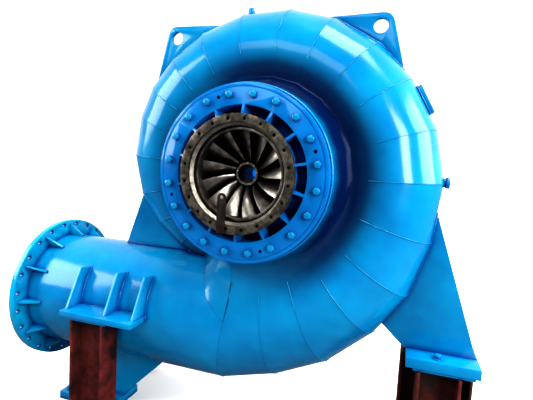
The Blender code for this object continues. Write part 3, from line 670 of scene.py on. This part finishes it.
def drill_circle(piece, title, count, pitch, start, face, radius, depth):
    """Cut holes along the shaft, spread evenly on a circle of radius pitch."""
    pegs = []
    for i in range(count):
        spot = on_circle(pitch, start + 360 / count * i, face)
        bpy.ops.mesh.primitive_cylinder_add(vertices=20, radius=radius, depth=depth,
                                            location=spot, rotation=ALONG_SHAFT)
        pegs.append(bpy.context.object)
    only(*pegs)
    bpy.ops.object.join()
    cutter = bpy.context.view_layer.objects.active
    cut = piece.modifiers.new(title, "BOOLEAN")
    cut.operation = "DIFFERENCE"
    cut.object = cutter
    cut.solver = "EXACT"
    only(piece)
    bpy.ops.object.modifier_apply(modifier=cut.name)
    bpy.data.objects.remove(cutter, do_unlink=True)
    print(title, "drilled:", count)


# %% [markdown]
# The throat ring carries the draft tube on twenty tapped holes. The cone inside its mouth
# is left brighter than the rest, as a scraper leaves it, so its faces get a second
# material. They are found by their radius and depth.

# %% Throat ring with its tapped holes
THROAT_FACE = corners("throat_ring")[0].y
SCRAPED_RADII = (0.2205, 0.2345)
SCRAPED_DEPTHS = (-0.5255, -0.511)
throat = copy_of("throat_ring_dressed", "throat_ring")
drill_circle(throat, "tapped holes", count=20, pitch=0.2513, start=10.1,
             face=THROAT_FACE, radius=0.0083, depth=0.036)
round_edges(throat, width=0.0008)
smooth(throat, angle=32)
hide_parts("throat_ring")
finish_piece(throat, throat_steel)
throat.data.materials.append(scraped_steel)
for face in throat.data.polygons:
    radius, _, y = from_shaft(face.center)
    if SCRAPED_RADII[0] < radius < SCRAPED_RADII[1] and SCRAPED_DEPTHS[0] < y < SCRAPED_DEPTHS[1]:
        face.material_index = 1
print("throat faces:", len(throat.data.polygons))

# %% [markdown]
# A cover bolt is a hexagon head on a round washer, both softened by paint. A six-sided
# cylinder is inset and lifted for its chamfer, a washer is set under it, both are joined
# and beveled. The finished bolt is then copied wherever one is needed.


# %% Hexagon bolts
def hex_bolt(across, height, washer, thick):
    """A bolt head on its washer at the origin, facing -Y, washer's back on y = 0."""
    bpy.ops.mesh.primitive_cylinder_add(vertices=6, radius=across / math.sqrt(3), depth=height,
                                        location=(0, -thick - height / 2, 0),
                                        rotation=ALONG_SHAFT)
    head = bpy.context.object
    bpy.ops.object.transform_apply(location=True, rotation=True, scale=True)
    bpy.ops.object.mode_set(mode="EDIT")
    bm = bmesh.from_edit_mesh(head.data)
    for face in bm.faces:
        face.select_set(face.normal.y < -0.9)
    bmesh.update_edit_mesh(head.data)
    # the chamfer: the face shrinks by 7 % of the width and rises by 10 % of the height
    bpy.ops.mesh.inset(thickness=across * 0.07)
    bpy.ops.transform.translate(value=(0, -height * 0.10, 0))
    bpy.ops.object.mode_set(mode="OBJECT")
    bpy.ops.mesh.primitive_cylinder_add(vertices=32, radius=washer, depth=thick,
                                        location=(0, -thick / 2, 0), rotation=ALONG_SHAFT)
    plate = bpy.context.object
    only(head, plate)
    bpy.ops.object.join()
    round_edges(head, width=across * 0.035)
    smooth(head, angle=40)
    return head


def copy_to(pattern, name, spot, turn):
    """A copy with its own mesh, turned by these degrees and set at this spot."""
    only(pattern)
    bpy.ops.object.duplicate()
    piece = bpy.context.view_layer.objects.active
    piece.name = name
    piece.data.name = name
    piece.rotation_euler = [math.radians(degrees) for degrees in turn]
    piece.location = spot
    return piece


# %% [markdown]
# Twenty bolts hold each cover. The heads in front were tightened, not lined up, so every
# bolt is turned a little further than the last. Both covers have their rims equally far
# from the middle, and the rear one ends at its rim, so it gives the height of both.

# %% Cover bolts, front and rear
REAR_FACE = corners("rear_cover")[1].y
FRONT_FACE = -REAR_FACE
COVER_BOLTS = 20
BOLT_CIRCLE = 0.3665
FRONT_START = 100.1
REAR_START = 9
pattern = hex_bolt(across=0.030, height=0.014, washer=0.0185, thick=0.0035)
for i in range(COVER_BOLTS):
    spot = on_circle(BOLT_CIRCLE, FRONT_START - 360 / COVER_BOLTS * i, FRONT_FACE)
    bolt = copy_to(pattern, "cover_bolt_%02d" % (i + 1), spot, turn=(0, 17 * i, 0))
    finish_piece(bolt, plate_enamel)
for i in range(COVER_BOLTS):
    spot = on_circle(BOLT_CIRCLE, REAR_START + 360 / COVER_BOLTS * i, REAR_FACE)
    bolt = copy_to(pattern, "rear_bolt_%02d" % (i + 1), spot, turn=(0, 0, 180))
    finish_piece(bolt, plate_enamel)
bpy.data.objects.remove(pattern, do_unlink=True)
print("cover bolts:", 2 * COVER_BOLTS)

# %% [markdown]
# Between the bolts the front cover has four jacking holes, where screws push it off its
# seat. They are drilled in the dressed cover and show as small black dots.

# %% Jacking holes
cover = bpy.data.objects["front_cover_dressed"]
drill_circle(cover, "jacking holes", count=4, pitch=BOLT_CIRCLE, start=109.1,
             face=FRONT_FACE, radius=0.0085, depth=0.060)
print("cover faces:", len(cover.data.polygons))

# %% [markdown]
# A round weld ties the casing plates to the stay ring all the way round, front and rear.
# A torus is the plain way to make it.

# %% Ring welds
RING_WELD_Y = 0.442
for name, y in (("ring_weld_front", -RING_WELD_Y), ("ring_weld_rear", RING_WELD_Y)):
    bpy.ops.mesh.primitive_torus_add(location=at(0, y, 0), rotation=ALONG_SHAFT,
                                     major_radius=0.4185, minor_radius=0.007,
                                     major_segments=96, minor_segments=10)
    ring = bpy.context.object
    ring.name = name
    smooth(ring, angle=60)
    finish_piece(ring, plate_enamel)
    print(name, len(ring.data.polygons), "faces")

# %% [markdown]
# The casing carries three small fittings on its rim: a vent plug at the top, a gauge
# nipple at the right and a drain knob near the pipe. Each is a round collar with a
# hexagon on it, standing straight out from the shaft.


# %% Rim fittings
def rim_plug(name, rim, degrees, collar, core, length):
    """A collar and a hexagon plug of these radii, standing outward from the rim."""
    outward = (0, math.radians(90 - degrees), 0)
    # the collar fills the length up to 62 %, and the hexagon goes from 55 % to 105 %
    bpy.ops.mesh.primitive_cylinder_add(vertices=40, radius=collar, depth=length * 0.62,
                                        location=on_circle(rim + length * 0.31, degrees, 0),
                                        rotation=outward)
    boss = bpy.context.object
    bpy.ops.mesh.primitive_cylinder_add(vertices=6, radius=core, depth=length * 0.5,
                                        location=on_circle(rim + length * 0.8, degrees, 0),
                                        rotation=outward)
    plug = bpy.context.object
    only(boss, plug)
    bpy.ops.object.join()
    boss.name = name
    boss.data.name = name
    round_edges(boss, width=0.002)
    smooth(boss, angle=40)
    finish_piece(boss, plate_enamel)
    print(name, "at", degrees, "degrees")


rim_plug("vent_plug", rim=0.872, degrees=100.3, collar=0.020, core=0.017, length=0.045)
rim_plug("gauge_nipple", rim=0.898, degrees=0.2, collar=0.022, core=0.031, length=0.036)
rim_plug("drain_knob", rim=0.735, degrees=196.0, collar=0.016, core=0.013, length=0.040)

# %% [markdown]
# The feet are bolted down: the right one to its stand, the left one to the floor. The
# frame gives the height of each foot's top, and the bolt is first turned to face up.

# %% Foot bolts
RIGHT_FOOT_TOP = corners("foot_right")[1].z
LEFT_FOOT_TOP = corners("foot_left")[1].z
pattern = hex_bolt(across=0.030, height=0.018, washer=0.026, thick=0.004)
only(pattern)
pattern.rotation_euler = (math.radians(-90), 0, 0)
bpy.ops.object.transform_apply(location=True, rotation=True, scale=True)
RIGHT_BOLTS = [(0.948, y, RIGHT_FOOT_TOP) for y in (-0.085, 0.085)]
LEFT_BOLTS = [(x, y, LEFT_FOOT_TOP) for x in (-1.310, -0.975) for y in (-0.090, 0.090)]
for i, spot in enumerate(RIGHT_BOLTS + LEFT_BOLTS):
    bolt = copy_to(pattern, "foot_bolt_%02d" % (i + 1), at(*spot), turn=(0, 0, 13 * i))
    finish_piece(bolt, plate_enamel)
bpy.data.objects.remove(pattern, do_unlink=True)
print("foot bolts:", len(RIGHT_BOLTS), "and", len(LEFT_BOLTS))

# %% [markdown]
# The hub is hollow. A ring of small screws holds its seal, and a blue cap closes the bore
# behind it. Emission paints a faint glow onto the cap, though it is no lamp.

# %% Hub screws and cap
HUB_SCREWS = 9
HUB_SCREW_CIRCLE = 0.0505
HUB_SCREW_START = 8
HUB_FACE = -0.385
CAP_PLACE = (0, -0.215, 0)
pattern = hex_bolt(across=0.009, height=0.005, washer=0.0052, thick=0.001)
for i in range(HUB_SCREWS):
    spot = on_circle(HUB_SCREW_CIRCLE, HUB_SCREW_START + 360 / HUB_SCREWS * i, HUB_FACE)
    screw = copy_to(pattern, "hub_screw_%02d" % (i + 1), spot, turn=(0, 23 * i, 0))
    finish_piece(screw, bright_steel, "rotor")
bpy.data.objects.remove(pattern, do_unlink=True)
cap_blue = blue_enamel("painted_glow_blue_cap", 0.02, "#0480E0", ("#0590F0", "#1AA0FF", "#35B0FF"))
# emission paints a faint glow onto the cap, though it is no lamp
cap_emission = cap_blue.node_tree.nodes["Principled BSDF"]
cap_emission.inputs["Emission Color"].default_value = linear("#0A7CE8")
cap_emission.inputs["Emission Strength"].default_value = 0.8
bpy.ops.mesh.primitive_cylinder_add(vertices=40, radius=0.0297, depth=0.010,
                                    location=at(*CAP_PLACE), rotation=ALONG_SHAFT)
cap = bpy.context.object
cap.name = "hub_cap"
round_edges(cap, width=0.002)
smooth(cap, angle=40)
finish_piece(cap, cap_blue, "rotor")
print("hub screws:", HUB_SCREWS)

# %% [markdown]
# The studio is plain. Its floor looks pale to the camera, but the light that bounces off
# it is that of a darker workshop floor, or the casing's underside would glow. The Light
# Path node tells the two apart.


# %% Floor
def matt_floor(name):
    material, tree, shader = new_material(name, Roughness=0.9)
    place = add(tree, "TexCoord").outputs["Object"]
    mottle = add(tree, "TexNoise", {"Vector": place}, {"Scale": 1.5, "Detail": 4.0})
    pale = add(tree, "ValToRGB", {"Fac": mottle.outputs["Fac"]},
               stops=((0.3, linear("#F0F0EF")), (0.7, linear("#F8F8F7"))))
    seen = add(tree, "LightPath").outputs["Is Camera Ray"]
    tone = add(tree, "Mix", {"Factor": seen, "B": pale.outputs["Color"]},
               {"A": linear("#5E6167")}, data_type="RGBA")
    tree.links.new(tone.outputs["Result"], shader.inputs["Base Color"])
    return material


bpy.ops.mesh.primitive_plane_add(size=40, location=(0, 0, 0))
floor = bpy.context.object
floor.name = "studio_floor"
floor.data.materials.append(matt_floor("matt_white_floor"))
print("floor:", floor.name)

# %% [markdown]
# Most light comes from above, very soft, as through a wide roof window. Large area lights
# fill in from the front and from both sides, and a narrow one at the right draws the long
# highlights down the casing's flank.


# %% Lights
def soft_light(name, spot, aim, size, watts):
    """A rectangular area light that looks from its spot at its aim."""
    bpy.ops.object.light_add(type="AREA", location=spot)
    lamp = bpy.context.object
    lamp.name = name
    lamp.data.shape = "RECTANGLE"
    lamp.data.size, lamp.data.size_y = size
    lamp.data.energy = watts
    way = Vector(aim) - Vector(spot)
    lamp.rotation_euler = way.to_track_quat("-Z", "Y").to_euler()


bpy.ops.object.light_add(type="SUN", location=(3.0, -2.0, 6.0))
sun = bpy.context.object
sun.name = "window light"
sun.data.energy = 2.9
sun.data.angle = math.radians(34)
sun.rotation_euler = Vector((-0.30, 0.17, -0.94)).to_track_quat("-Z", "Y").to_euler()
soft_light("front fill", spot=(-0.8, -5.2, 4.6), aim=(0.0, 0.0, 1.4), size=(3.0, 1.6), watts=50)
soft_light("left fill", spot=(-4.6, -2.6, 3.2), aim=(-0.4, 0.0, 1.6), size=(3.2, 3.0), watts=265)
soft_light("right fill", spot=(5.0, 0.3, 3.4), aim=(0.5, 0.0, 1.7), size=(2.8, 2.8), watts=225)
soft_light("right strip", spot=(4.4, -3.6, 3.0), aim=(0.4, 0.0, 1.7), size=(1.5, 3.2), watts=285)

# %% [markdown]
# The world is dim in front and bright behind the turbine, which rims its edges with
# light. To the camera it is plain white all round, as a product picture is. Standard view
# keeps the paint as saturated as it was mixed, and the look adds contrast.

# %% World and view
world = bpy.data.worlds.new("studio_world")
bpy.context.scene.world = world
world.use_nodes = True
sky = world.node_tree
heading = add(sky, "TexCoord").outputs["Generated"]
behind = add(sky, "VectorMath", {0: heading}, {1: (-0.2, 0.94, 0.28)}, operation="DOT_PRODUCT")
brightness = add(sky, "ValToRGB", {"Fac": behind.outputs["Value"]},
                 stops=((0.0, (0.20, 0.20, 0.20, 1)), (0.45, (1.0, 1.0, 1.0, 1))))
camera_ray = add(sky, "LightPath").outputs["Is Camera Ray"]
backdrop = add(sky, "Mix", {"Factor": camera_ray, "A": brightness.outputs["Color"]},
               {"B": (1.0, 1.0, 1.0, 1.0)}, data_type="RGBA")
sky.links.new(backdrop.outputs["Result"], sky.nodes["Background"].inputs["Color"])
sky.nodes["Background"].inputs["Strength"].default_value = 1.0
bpy.context.scene.view_settings.view_transform = "Standard"
bpy.context.scene.view_settings.look = "High Contrast"
print("world:", world.name)

# %% [markdown]
# The camera stands where the photographer stood, at a person's eye height in front of the
# turbine's right side. Its place and lens were fitted to the bolt circles.

# %% Camera
CAMERA_PLACE = (0.70165, -2.28703, 0.08834)
CAMERA_TURN = (84.5013, -3.0231, 18.4549)
bpy.ops.object.camera_add(location=at(*CAMERA_PLACE),
                          rotation=[math.radians(degrees) for degrees in CAMERA_TURN])
camera = bpy.context.object
camera.data.sensor_width = 36.0
camera.data.lens = 28.429
camera.data.shift_x = 0.01024
camera.data.shift_y = -0.0064
bpy.context.scene.camera = camera
print("camera is", round(camera.location.z, 2), "m over the floor")
